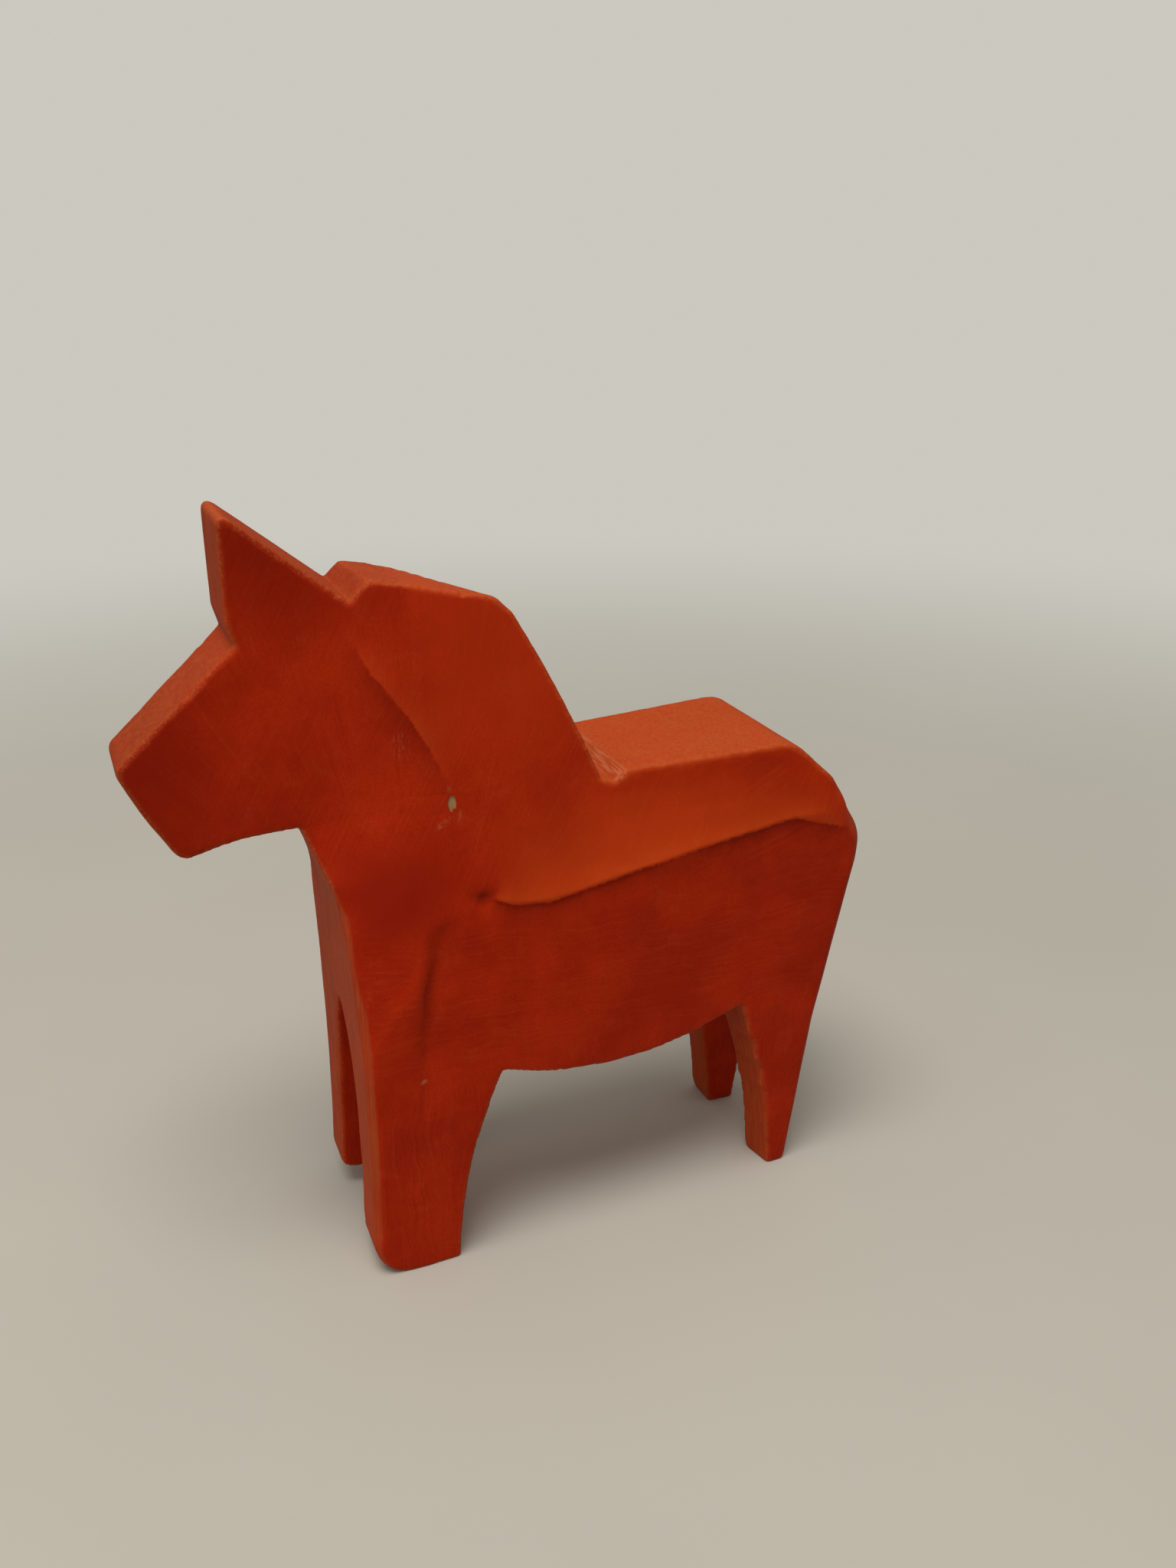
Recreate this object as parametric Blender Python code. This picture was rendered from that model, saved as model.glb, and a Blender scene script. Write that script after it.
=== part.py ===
"""A carved wooden horse in a coat of red paint.

The horse is one block of pine: its side outline is sawn from a board, its flanks, neck and head
are thinned with a knife, and two slots part the legs. The paint is a thin skin over the wood.
It is open under the four feet, which are trimmed level after painting, and at one chip.

The horse faces -Y and stands on Z = 0 on three feet: the far foreleg is a little short. X = 0 is
the middle of the board. The carving functions work in millimetres, with y measured from a line
between the forelegs and the hind legs; mesh_object moves y to the middle of the horse's length
and scales to metres.
"""

from math import cos, degrees, pi, radians, sin, sqrt, tan

import bmesh
import bpy
from mathutils import Vector

MILLIMETRE = 0.001
MIDDLE = Vector((0.0, -3.41, 0.0))  # the middle of the horse's length, where the origin is

# Board and paint
BOARD_HALF = 25.0  # half the thickness of the board
COAT = 0.3  # thickness of the paint skin
GAP = 0.3  # clearance between the skin and the wood
SAW_ALLOWANCE = 1.5  # the legs are sawn this much too long, then trimmed level at Z = 0

# Side outline, anticlockwise seen with the head on the left, from the tip of the ear down the
# face. Each corner is (y, z, radius of its rounding, bow of the edge to the next corner). A bow
# is the edge's rise at mid-length, positive into the wood.
EAR_TIP = (-66.2, 181.9, 1.8, 0.0)
EAR_ROOT = (-66.3, 158.8, 1.0, 0.0)
BROW = (-65.0, 154.0, 0.6, 0.0)
NOSE = (-91.3, 130.0, 2.5, 0.0)
CHIN = (-81.9, 108.6, 4.0, 0.0)
THROAT = (-55.5, 113.9, 1.2, 0.0)
BREAST = (-48.9, 96.0, 22.0, 1.5)
FRONT_TOE = (-48.4, -SAW_ALLOWANCE, 12.0, 0.0)
FRONT_HEEL = (-27.0, -SAW_ALLOWANCE, 0.0, 2.9)
ELBOW = (-14.7, 49.4, 0.9, -6.0)
STIFLE = (49.0, 52.0, 1.6, 1.6)
HIND_TOE = (57.4, -SAW_ALLOWANCE, 5.2, 0.0)
HIND_HEEL = (65.4, -SAW_ALLOWANCE, 0.0, 1.0)
BUTTOCK = (86.0, 96.0, 20.0, 0.0)
CROUP = (61.6, 119.6, 9.0, 0.0)
SADDLE_FRONT = (19.0, 118.0, 0.5, 0.0)
MANE_STOP_CUT = (15.6, 115.7, 0.0, 0.0)
MANE_FOOT = (12.8, 116.6, 0.0, -1.0)
MANE_BACK = (-8.0, 159.6, 9.0, 0.0)
MANE_FRONT = (-36.9, 165.9, 1.6, 0.0)
POLL_NOTCH = (-41.2, 161.8, 0.4, 0.0)

OUTLINE = (
    EAR_TIP, EAR_ROOT, BROW, NOSE, CHIN, THROAT, BREAST, FRONT_TOE, FRONT_HEEL, ELBOW, STIFLE,
    HIND_TOE, HIND_HEEL, BUTTOCK, CROUP, SADDLE_FRONT, MANE_STOP_CUT, MANE_FOOT, MANE_BACK,
    MANE_FRONT, POLL_NOTCH,
)
BOW_STEP = 7.0  # length of one facet along a bowed edge
ROUND_STEP = 14.0  # degrees turned by one facet of a rounded corner
SHARP_ANGLE = 22.0  # edges that turn more than this are shaded sharp

# Neck and saddle: one sweeping cut down each side of the neck and over the back. Each station is
# (y, half-width at the height of the back, height of the lower crease, straightness). The cut
# leans in at the neck's slope and hollows outwards to the crease; 1 is a straight cut.
BACK_HEIGHT = 118.0
NECK_SLOPE = 0.1125
NECK_STATIONS = (
    (-70.0, 18.4, 59.0, 1.0),
    (-46.0, 18.4, 59.0, 1.0),
    (-32.0, 18.4, 76.0, 0.75),
    (-18.0, 18.4, 88.0, 0.4),
    (-8.0, 18.4, 87.0, 0.4),
    (6.0, 18.4, 90.0, 0.4),
    (20.0, 18.3, 94.6, 0.4),
    (40.0, 19.8, 98.3, 0.4),
    (60.0, 21.0, 101.0, 0.4),
    (70.0, 21.2, 100.8, 0.4),
    (78.0, 21.2, 96.6, 0.4),
    (92.0, 21.0, 86.0, 0.4),
)

# Head: a flat cut from the nose to the brow, hollowing out towards the neck. Below the throat it
# fades into the neck's cut. Heights where it starts to fade and has faded are at the breast, and
# both rise towards the back.
BROW_HALF_WIDTH = 10.7
NOSE_TAPER = 0.036  # narrowing per millimetre in front of the brow
EAR_FLARE = 0.03  # widening per millimetre above the brow
CHEEK_HOLLOW = 0.0047  # widening per square millimetre behind the brow
FADE_START = 118.0
FADE_END = 80.0
FADE_RISE = 0.45  # per millimetre behind the breast
FADE_CLEARANCE = 0.7  # how far outside the neck's cut the faded one ends

# Crest: the top of the mane leans down towards the -X side. Each station is (y, lean).
CREST_EDGE = 12.5  # half-width where the leaning cut meets the sawn top
CREST_STATIONS = ((-40.0, 0.04), (-32.0, 0.03), (-25.0, 0.055), (-17.0, 0.11), (-8.0, 0.16), (6.0, 0.02))

# Hindquarters: a flat cut that narrows the rump and the hind legs
RUMP_TAPER = 0.045  # per millimetre behind HIP
LEG_TAPER = 0.03  # per millimetre below HIP
HIP = (30.0, 100.0)

# Flank: a shallow hollow behind the shoulder. Each station is (z, y of the shoulder's edge, depth).
FLANK_STATIONS = (
    (101.0, -11.0, 1.6),
    (93.5, -18.5, 2.1),
    (87.0, -28.0, 2.1),
    (74.0, -32.0, 1.8),
    (55.0, -34.0, 1.0),
    (42.0, -35.0, 0.1),
)
FLANK_LENGTH = 45.0
SHOULDER_STEP = 2.0

# Corners taken off with the knife
BREAST_CORNER = 2.6
BREAST_CORNER_SLOPE = 1.4
BREAST_CORNER_FADE = 0.35
RUMP_CORNER_HALF_WIDTH = 17.0
RUMP_CORNER_SLOPE = 1.16
RUMP_CORNER_TOP = 97.0  # the corner runs out above this height
RUMP_CORNER_FADE = 0.75
STIFLE_TURN = 0.21  # how steeply the front face of the near (+X) hind leg is turned outwards
STIFLE_RUN = 28.0  # and over what height below the belly it turns

# The far (-X) foreleg is this much shorter than the others, and its toe is rounded off.
SHORT_FOOT = 6.0
SHORT_TOE = 5.0

# Slots between the legs: (y, height of the top) at each end, and the half-width at the floor
FRONT_SLOT = ((-60.0, 65.5), (-40.0, 62.0), (-10.0, 48.5))
FRONT_SLOT_HALF = 11.5
HIND_SLOT = ((43.0, 51.5), (90.0, 60.0))
HIND_SLOT_HALF = 10.8
SLOT_SPRING = 14.0  # the slot's sides are upright up to here
SLOT_FACETS = 8  # on each side of the slot's top

# Small marks on the near (+X) side
NOTCH = (-17.2, 93.6)  # y, z of the knife's stop cut where saddle, shoulder and flank meet
NOTCH_RADIUS = 2.4
NOTCH_DEPTH = 3.6
NOTCH_REACH = 3.0  # the cutter's pyramid is this many times deeper
CHIP = (-22.7, 116.3)  # y, z of the chip in the paint
CHIP_RADII = (1.15, 2.1)  # along y and z
CHIP_CORNERS = 9
CHIP_RAGGED = 0.22  # unevenness of its edge, and how fast that changes from corner to corner
CHIP_RATE = 3.7

PINE, PINE_ROUGHNESS = (0.62, 0.42, 0.22), 0.75
RED, RED_ROUGHNESS = (0.46, 0.045, 0.025), 0.6

OUTSIDE = 60.0  # how far a cutter reaches past the wood
UNDER = -10.0  # height of a cutter's end below the floor
OVER = 190.0  # and above the ear
FACET = 5.0  # usual length of a facet where two carved surfaces meet


def blend(stations, at):
    """The values of the stations, interpolated at this place; constant past either end."""
    stations = sorted(stations)
    if at <= stations[0][0]:
        return stations[0][1:]
    for low, high in zip(stations, stations[1:]):
        if at <= high[0]:
            share = (at - low[0]) / (high[0] - low[0])
            return tuple(a + (b - a) * share for a, b in zip(low[1:], high[1:]))
    return stations[-1][1:]


def along(start, end, bow, share):
    """The point at this share of an edge that bows like a parabola."""
    chord = end - start
    inward = Vector((-chord.y, chord.x)).normalized()
    return start + chord * share + inward * (4 * bow * share * (1 - share))


def crossings(outline, axis, value):
    """Where the outline crosses y = value (axis 0) or z = value (axis 1)."""
    found = []
    for one, two in zip(outline, outline[1:] + outline[:1]):
        if min(one[axis], two[axis]) <= value <= max(one[axis], two[axis]) and one[axis] != two[axis]:
            share = (value - one[axis]) / (two[axis] - one[axis])
            found.append(one[1 - axis] + (two[1 - axis] - one[1 - axis]) * share)
    return found


def edge_y(start, end, z):
    """The y of the edge that leaves one outline corner for the other, at this height."""
    share = (z - start[1]) / (end[1] - start[1])
    return along(Vector(start[:2]), Vector(end[:2]), start[3], share).x


def side_outline():
    """The sawn outline as (y, z) points, with its bowed edges and rounded corners."""
    corners = [Vector(corner[:2]) for corner in OUTLINE]
    count = len(corners)
    trims = []
    for i, corner in enumerate(corners):
        turn = (corner - corners[i - 1]).angle(corners[(i + 1) % count] - corner)
        trims.append((OUTLINE[i][2] * tan(turn / 2), degrees(turn)))
    points = []
    for i, corner in enumerate(corners):
        before, after = corners[i - 1], corners[(i + 1) % count]
        trim, turn = trims[i]
        leave = along(before, corner, OUTLINE[i - 1][3], 1 - trim / (corner - before).length)
        start_share = trim / (after - corner).length
        enter = along(corner, after, OUTLINE[i][3], start_share)
        steps = max(2, round(turn / ROUND_STEP)) if trim else 0
        for step in range(steps):
            t = step / steps
            points.append(leave * (1 - t) ** 2 + corner * (2 * t * (1 - t)) + enter * t ** 2)
        points.append(enter)
        if OUTLINE[i][3]:
            length = (after - corner).length
            end_share = 1 - trims[(i + 1) % count][0] / length
            pieces = max(2, round(length / BOW_STEP))
            for step in range(1, pieces):
                share = start_share + (end_share - start_share) * step / pieces
                points.append(along(corner, after, OUTLINE[i][3], share))
    return points


def inset_outline(points, inset):
    """The outline moved into the wood by the same distance everywhere, with mitred corners."""
    moved = []
    for i, point in enumerate(points):
        one = (point - points[i - 1]).normalized()
        two = (points[(i + 1) % len(points)] - point).normalized()
        normal = Vector((-one.y - two.y, one.x + two.x)).normalized()
        moved.append(point + normal * (inset / normal.dot(Vector((-one.y, one.x)))))
    return moved


def neck_half_width(y, z):
    """Half-width left by the neck and saddle cut."""
    top, crease, straightness = blend(NECK_STATIONS, y)
    edge = min(BOARD_HALF, hip_plane(y, crease))
    drop = (BACK_HEIGHT - z) / (BACK_HEIGHT - crease)
    if drop <= 0:
        return top - NECK_SLOPE * (z - BACK_HEIGHT)
    return top + (edge - top) * (straightness * drop + (1 - straightness) * drop ** 2)


def head_half_width(y, z):
    """Half-width left by the cut that thins the head."""
    behind = y - BROW[0]
    width = BROW_HALF_WIDTH + NOSE_TAPER * min(0.0, behind)
    width += EAR_FLARE * max(0.0, z - BROW[1]) + CHEEK_HOLLOW * max(0.0, behind) ** 2
    neck = neck_half_width(y, z)
    if width > neck:
        return width
    rise = FADE_RISE * (y - BREAST[0])
    share = min(1.0, max(0.0, (z - FADE_END - rise) / (FADE_START - FADE_END)))
    cut = share ** 2 * (3 - 2 * share)
    return neck - (neck - width) * cut + FADE_CLEARANCE * (1 - cut) ** 2


def hip_plane(y, z):
    """Half-width left by the flat cut over the hindquarters."""
    return BOARD_HALF - RUMP_TAPER * (y - HIP[0]) - LEG_TAPER * (HIP[1] - z)


def flank_half_width(behind, depth):
    """Half-width left by the hollow, at this distance behind the shoulder's edge."""
    if behind < 0:
        return BOARD_HALF + 1.0
    return BOARD_HALF - depth * (1 - behind / FLANK_LENGTH)


def breast_corner(y, z):
    """Half-width left where the front corners of the breast and forelegs are taken off."""
    front = edge_y(BREAST, FRONT_TOE, min(z, BREAST[1]))
    front = min(front, edge_y(BREAST, THROAT, z))
    if z < FRONT_TOE[2]:
        left = max(0.0, z + SAW_ALLOWANCE) / FRONT_TOE[2]
        front = FRONT_TOE[0] + FRONT_TOE[2] * (1 - sqrt(left)) ** 2
    width = min(neck_half_width(front, z), head_half_width(front, z), BOARD_HALF)
    fade = max(0.0, z - BREAST[1]) * BREAST_CORNER_FADE
    return width - BREAST_CORNER + fade + (y - front) * BREAST_CORNER_SLOPE


def rump_corner(depth, z):
    """Half-width left by taking off the rear corners, this far in from the back of the rump."""
    fade = max(0.0, z - RUMP_CORNER_TOP) * RUMP_CORNER_FADE
    return RUMP_CORNER_HALF_WIDTH + fade + depth * RUMP_CORNER_SLOPE


def mesh_object(name, points, faces):
    """An object from points in millimetres, with every face turned outwards."""
    mesh = bpy.data.meshes.new(name)
    mesh.from_pydata([(Vector(point) - MIDDLE) * MILLIMETRE for point in points], [], faces)
    work = bmesh.new()
    work.from_mesh(mesh)
    bmesh.ops.recalc_face_normals(work, faces=work.faces)
    work.to_mesh(mesh)
    work.free()
    obj = bpy.data.objects.new(name, mesh)
    bpy.context.scene.collection.objects.link(obj)
    return obj


def grow(obj, distance):
    """Moves every face of a cutter outwards by this many millimetres."""
    work = bmesh.new()
    work.from_mesh(obj.data)
    work.normal_update()
    moves = [v.normal * (v.calc_shell_factor() * distance * MILLIMETRE) for v in work.verts]
    for vertex, move in zip(work.verts, moves):
        vertex.co += move
    work.to_mesh(obj.data)
    work.free()


def slab(name, rows, columns, surface, away):
    """A cutter bounded by a curved surface, given by a grid of its places, and its copy."""
    near = [Vector(surface(row, column)) for row in rows for column in columns]
    points = near + [point + Vector(away) for point in near]
    wide, count = len(columns), len(near)
    faces = []
    for r in range(len(rows) - 1):
        for c in range(wide - 1):
            a, b = r * wide + c, (r + 1) * wide + c
            faces.append((a, a + 1, b + 1, b))
            faces.append((count + a, count + b, count + b + 1, count + a + 1))
    rim = list(range(wide)) + [r * wide + wide - 1 for r in range(1, len(rows))]
    rim += [count - 1 - c for c in range(1, wide)] + [r * wide for r in range(len(rows) - 2, 0, -1)]
    for one, two in zip(rim, rim[1:] + rim[:1]):
        faces.append((one, two, count + two, count + one))
    return mesh_object(name, points, faces)


def spread(low, high, step):
    """Evenly spaced places from low to high, at most this step apart."""
    count = max(1, round((high - low) / step))
    return [low + (high - low) * i / count for i in range(count + 1)]


def side_slab(name, ys, zs, half_width):
    """A cutter that takes away what is wider than half_width(y, z), on the +X side."""
    return slab(name, zs, ys, lambda z, y: (half_width(y, z), y, z), (OUTSIDE, 0, 0))


def neck_cutter(name):
    ys = sorted({station[0] for station in NECK_STATIONS} | {-25.0, -13.0, 30.0, 50.0})
    zs = spread(50.0, 70.0, 2 * FACET) + spread(76.0, BACK_HEIGHT, FACET) + [OVER]
    return side_slab(name, ys, zs, neck_half_width)


def head_cutter(name):
    ys = [NOSE[0] - 9] + spread(BROW[0], -5.0, FACET)
    zs = spread(74.0, 134.0, FACET) + [BROW[1], OVER]
    return side_slab(name, ys, zs, head_half_width)


def hip_cutter(name):
    return side_slab(name, [-OUTSIDE, BUTTOCK[0] + 14], [UNDER, BACK_HEIGHT + 12], hip_plane)


def flank_cutter(name):
    distances = [-SHOULDER_STEP, 0.0, FLANK_LENGTH / 2, FLANK_LENGTH * 1.2]

    def surface(station, behind):
        z, edge, depth = station
        return flank_half_width(behind, depth), edge + behind, z

    return slab(name, FLANK_STATIONS, distances, surface, (OUTSIDE, 0, 0))


def breast_corner_cutter(name):
    ys = [FRONT_TOE[0] - 5, FRONT_TOE[0] + 12]
    zs = [-1.4, 0.5, 2.5, 5.0, 8.0, 12.0, 35.0] + spread(58.0, 108.0, FACET)
    return side_slab(name, ys, zs, breast_corner)


def crest_height(outline, y):
    """Height of the top of the mane, carried on past its front corner in a straight line."""
    back, front = Vector(MANE_BACK[:2]), Vector(MANE_FRONT[:2])
    if y > (back.x + front.x) / 2:
        return max(crossings(outline, 0, y))
    return back.y + (front.y - back.y) * (y - back.x) / (front.x - back.x)


def rump_corner_cutter(name):
    ys = [HIND_TOE[0] - 2, BUTTOCK[0] + 9]
    zs = [UNDER, 40.0, 76.0] + spread(80.0, 108.0, 3.5)
    back = {z: max(crossings(side_outline(), 1, max(0.0, z))) for z in zs}
    return side_slab(name, ys, zs, lambda y, z: rump_corner(back[z] - y, z))


def crest_cutter(name):
    outline = side_outline()

    def surface(y, x):
        lean = blend(CREST_STATIONS, y)[0]
        return x, y, crest_height(outline, y) + lean * (x - CREST_EDGE)

    width = [-BOARD_HALF - 5, BOARD_HALF + 5]
    return slab(name, spread(-45.0, 6.0, 3.0), width, surface, (0, 0, OUTSIDE))


def stifle_cutter(name):
    """Turns the front face of a hind leg outwards, from the slot's edge to the outer edge."""
    def surface(z, x):
        turn = STIFLE_TURN * min(1.0, (STIFLE[1] - z) / STIFLE_RUN)
        return x, edge_y(STIFLE, HIND_TOE, z) + turn * (x - HIND_SLOT_HALF + 1), z

    width = [HIND_SLOT_HALF - 6, OUTSIDE]
    return slab(name, spread(UNDER, STIFLE[1] - 4, 8.0), width, surface, (0, UNDER, 0))


def short_foot_cutter(name):
    """Shortens the far foreleg from below, level behind a rounded toe."""
    def surface(share, x):
        rise = (1 - share) ** 2 if share <= 1 else 0.0
        return x, FRONT_TOE[0] + SHORT_TOE * share * abs(share), SHORT_FOOT + SHORT_TOE * rise

    shares = spread(-0.5, 1.0, 0.25) + [2.5]
    return slab(name, shares, [-BOARD_HALF - 5, 5 - FRONT_SLOT_HALF], surface, (0, 0, -OUTSIDE))


def arch(half, top):
    """Half-round-topped slot in the (x, z) plane, taller than wide, open below the floor."""
    points = [(half, UNDER)]
    for step in range(SLOT_FACETS * 2 + 1):
        angle = pi / 2 * step / SLOT_FACETS
        points.append((half * cos(angle), SLOT_SPRING + (top - SLOT_SPRING) * sin(angle)))
    return points + [(-half, UNDER)]


def slot_cutter(name, stations, half):
    rings = [[(x, y, z) for x, z in arch(half, top)] for y, top in stations]
    size = len(rings[0])
    faces = [tuple(range(size)), tuple(range(size * (len(rings) - 1), size * len(rings)))]
    for ring in range(len(rings) - 1):
        for i in range(size):
            a, b = ring * size + i, ring * size + (i + 1) % size
            faces.append((a, b, b + size, a + size))
    return mesh_object(name, [point for ring in rings for point in ring], faces)


def notch_cutter(name):
    """A three-sided pyramid that points into the wood."""
    y, z = NOTCH
    tip = (BOARD_HALF - NOTCH_DEPTH, y, z)
    base = []
    for corner in range(3):
        angle = pi / 2 + corner * 2 * pi / 3
        across, up = NOTCH_RADIUS * cos(angle), NOTCH_RADIUS * sin(angle)
        out = (tip[0] + NOTCH_DEPTH * NOTCH_REACH, y + across * NOTCH_REACH, z + up * NOTCH_REACH)
        base.append(out)
    return mesh_object(name, [tip] + base, [(0, 1, 2), (0, 2, 3), (0, 3, 1), (1, 2, 3)])


def chip_cutter(name):
    """A small ragged prism through the paint on the +X side."""
    rings = []
    for x in (BROW_HALF_WIDTH, BOARD_HALF):
        for corner in range(CHIP_CORNERS):
            angle = 2 * pi * corner / CHIP_CORNERS
            ragged = 1.0 + CHIP_RAGGED * sin(CHIP_RATE * corner)
            across, up = CHIP_RADII[0] * cos(angle), CHIP_RADII[1] * sin(angle)
            rings.append((x, CHIP[0] + across * ragged, CHIP[1] + up * ragged))
    near, far = range(CHIP_CORNERS), range(CHIP_CORNERS, 2 * CHIP_CORNERS)
    faces = [tuple(near), tuple(far)]
    for corner in near:
        after = (corner + 1) % CHIP_CORNERS
        faces.append((corner, after, after + CHIP_CORNERS, corner + CHIP_CORNERS))
    return mesh_object(name, rings, faces)


def floor_cutter(name):
    """Everything below Z = 0."""
    low, high = Vector((-OUTSIDE, -2 * OUTSIDE, -OUTSIDE)), Vector((OUTSIDE, 2 * OUTSIDE, 0))
    corners = [(x, y, z) for z in (low.z, high.z) for y in (low.y, high.y) for x in (low.x, high.x)]
    faces = [(0, 1, 3, 2), (4, 5, 7, 6), (0, 1, 5, 4), (2, 3, 7, 6), (0, 2, 6, 4), (1, 3, 7, 5)]
    return mesh_object(name, corners, faces)


def subtract(obj, cutter):
    """Cuts the cutter from the object, and hides the cutter."""
    cutter.hide_render = True
    cutter.display_type = "WIRE"
    modifier = obj.modifiers.new(cutter.name, "BOOLEAN")
    modifier.operation = "DIFFERENCE"
    modifier.solver = "EXACT"
    modifier.object = cutter


def both_sides(cutter):
    """Gives a cutter on the +X side its mirror image."""
    modifier = cutter.modifiers.new("both_sides", "MIRROR")
    modifier.use_axis = (True, False, False)
    modifier.use_mirror_merge = False
    return cutter


def sawn_blank(name, inset):
    """The board sawn to the side outline, made smaller by the inset on every side."""
    outline = inset_outline(side_outline(), inset)
    half = BOARD_HALF - inset
    count = len(outline)
    points = [(-half, y, z) for y, z in outline] + [(half, y, z) for y, z in outline]
    faces = [tuple(range(count)), tuple(range(count, 2 * count))]
    for i in range(count):
        after = (i + 1) % count
        faces.append((i, after, after + count, i + count))
    return mesh_object(name, points, faces)


def carved_horse(name, inset):
    """The whole carved shape, lying this far inside the painted surface."""
    horse = sawn_blank(name, inset)
    side_cutters = [
        neck_cutter(name + "_neck_cut"),
        head_cutter(name + "_head_cut"),
        hip_cutter(name + "_hip_cut"),
        flank_cutter(name + "_flank_cut"),
        breast_corner_cutter(name + "_breast_cut"),
        rump_corner_cutter(name + "_rump_cut"),
        notch_cutter(name + "_notch"),
    ]
    middle_cutters = [
        slot_cutter(name + "_front_slot", FRONT_SLOT, FRONT_SLOT_HALF),
        slot_cutter(name + "_hind_slot", HIND_SLOT, HIND_SLOT_HALF),
        crest_cutter(name + "_crest_cut"),
        stifle_cutter(name + "_stifle_cut"),
        short_foot_cutter(name + "_short_foot"),
    ]
    for cutter in side_cutters + middle_cutters:
        if inset:
            grow(cutter, inset)
        subtract(horse, cutter)
    for cutter in side_cutters:
        both_sides(cutter)
    return horse


def finish(obj, colour, roughness):
    """Gives the piece its material, and shades its rounded stretches smooth."""
    obj.data.shade_smooth()
    obj.data.set_sharp_from_angle(angle=radians(SHARP_ANGLE))
    material = bpy.data.materials.new(obj.name)
    material.use_nodes = True
    shader = material.node_tree.nodes["Principled BSDF"]
    shader.inputs["Base Color"].default_value = (*colour, 1.0)
    shader.inputs["Roughness"].default_value = roughness
    shader.inputs["Metallic"].default_value = 0.0
    obj.data.materials.append(material)


def carved_pine_body(floor):
    body = carved_horse("carved_pine_body", COAT + GAP)
    subtract(body, floor)
    finish(body, PINE, PINE_ROUGHNESS)
    return body


def red_paint_coat(floor):
    coat = carved_horse("red_paint_coat", 0.0)
    hollow = carved_horse("coat_hollow", COAT)
    subtract(coat, hollow)
    subtract(coat, floor)
    subtract(coat, chip_cutter("coat_chip"))
    finish(coat, RED, RED_ROUGHNESS)
    return coat


def clear_scene():
    for obj in list(bpy.data.objects):
        bpy.data.objects.remove(obj, do_unlink=True)


def main():
    clear_scene()
    floor = floor_cutter("floor_trim")
    carved_pine_body(floor)
    red_paint_coat(floor)


main()
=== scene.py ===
"""Looks of the dala horse: a knife-carved pine block in a worn, matte coat of red paint.

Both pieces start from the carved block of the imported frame. The block is remeshed finely, moved
out to the painted surface and smoothed wherever the carving isn't creased, and then the finer
knife work is cut into it. The coat is a thin film of that surface, open under the feet and at a
chip; the pine lies directly under it.

The horse faces -Y and stands on Z = 0. Lengths are in millimetres until a mesh is written.
"""

from math import cos, radians, sin

import bmesh
import bpy
import numpy as np
from mathutils import Matrix, Vector, noise

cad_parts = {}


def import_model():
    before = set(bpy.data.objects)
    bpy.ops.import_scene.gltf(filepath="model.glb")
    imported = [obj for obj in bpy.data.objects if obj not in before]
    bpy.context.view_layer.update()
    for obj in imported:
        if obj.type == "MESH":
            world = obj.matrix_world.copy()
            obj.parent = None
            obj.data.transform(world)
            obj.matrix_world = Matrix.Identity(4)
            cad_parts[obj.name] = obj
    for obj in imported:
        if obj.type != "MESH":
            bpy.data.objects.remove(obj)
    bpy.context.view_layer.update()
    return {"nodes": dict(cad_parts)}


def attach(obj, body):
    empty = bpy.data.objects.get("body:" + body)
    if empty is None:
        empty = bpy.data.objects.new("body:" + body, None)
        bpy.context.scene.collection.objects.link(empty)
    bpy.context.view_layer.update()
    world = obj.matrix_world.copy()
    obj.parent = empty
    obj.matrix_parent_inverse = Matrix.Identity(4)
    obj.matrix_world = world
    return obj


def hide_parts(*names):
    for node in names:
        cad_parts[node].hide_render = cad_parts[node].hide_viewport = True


MM = 0.001

# Mesh
VOXEL = 0.45
PAINT_LIFT = 0.6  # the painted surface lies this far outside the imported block
FILM = 0.3  # thickness of the coat
PINE_DEPTH = 0.33  # the pine lies this far inside the painted surface
COAT_FACES = 92000  # triangles of the coat's outer side
PINE_FACES = 45000
SOLE_CUT = 0.15  # the coat ends this far above the floor
SLIVER = 0.01  # edges shorter than this are merged away
WELD = 0.0001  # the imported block's corners are joined within this distance
FLOOR_BAND = 0.02  # points below this height stay on the floor
SOLE_BAND = 0.6  # the soles are found within this many voxels of the floor,
SOLE_FACING = -0.8  # where the surface faces down at least this much
RIM_FACING = 0.1  # and their rims where it turns outwards at least this much
SETTLING = 0.6  # share of the way to its neighbours' mean that a point moves once it is lifted
AVERAGING = 0.8  # and in each round of smoothing
SHARP_ANGLE = 60.0  # edges bent by more degrees than this are shaded sharp

# Creases: the spread of the surface's direction, in degrees, below which it is smoothed fully and
# above which it is left alone, and how far the smoothing reaches
SOFT_SPREAD = 1.1
CRISP_SPREAD = 2.4
SPREAD_REACH = 1.5
SMOOTH_REACH = 3.6
EDGE_REACH = 0.9

# How far a face has to turn sideways, from where it isn't treated as a side to where it fully is
SANDED_FACING = (0.55, 0.85)
CUT_FACING = (0.5, 0.8)
SHADED_FACING = (0.4, 0.8)

# Places where the finished outline departs from the sawn one: (y, z), move (y, z), reach
DEPARTURES = (
    ((84.0, 101.0), (-2.0, -0.6), 7.0),  # the buttock is rounded further
    ((-52.2, 114.2), (0.7, -1.4), 8.0),  # the throat is cut lower
    ((-77.0, 111.0), (1.6, -0.4), 7.0),  # and the chin further back
)

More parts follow.
